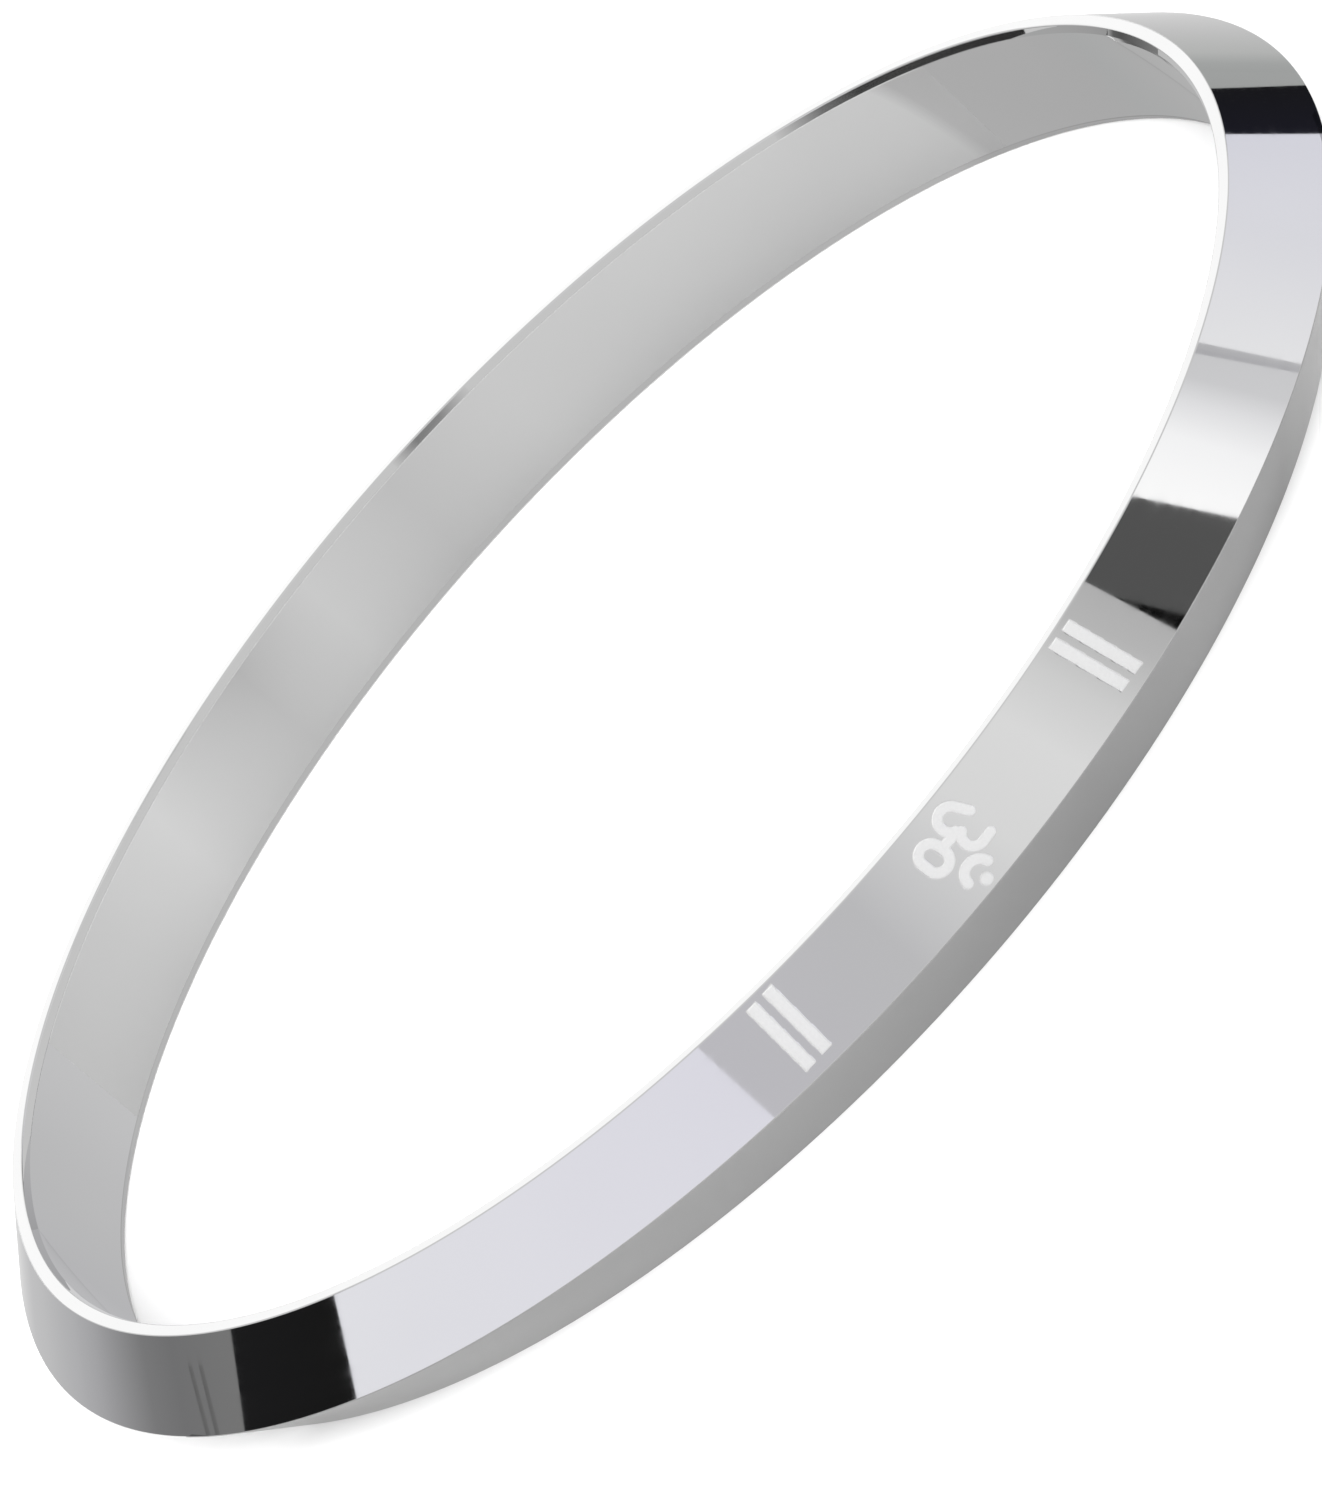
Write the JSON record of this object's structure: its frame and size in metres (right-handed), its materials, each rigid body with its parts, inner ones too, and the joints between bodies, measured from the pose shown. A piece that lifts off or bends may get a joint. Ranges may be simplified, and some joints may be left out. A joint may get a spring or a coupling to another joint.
{
  "type": "kada bangle",
  "caption": "Rigid one-piece polished steel bangle, round inside, with a bevelled outside that peaks in a ridge and etched lines and an Om sign on one bevel.",
  "frame": {"origin": "on the ring's axis, at the level of the lower rim that the bangle lies on", "axes": "+Z along the ring's axis, up through the wrist opening to the rim beside the etched marks; the sign on the upper bevel is near -Y"},
  "size_m": [0.0734, 0.0734, 0.0061],
  "materials": {
    "polished_steel": "polished"
  },
  "bodies": {
    "root": {"bangle": "polished_steel"}
  },
  "joints": []
}
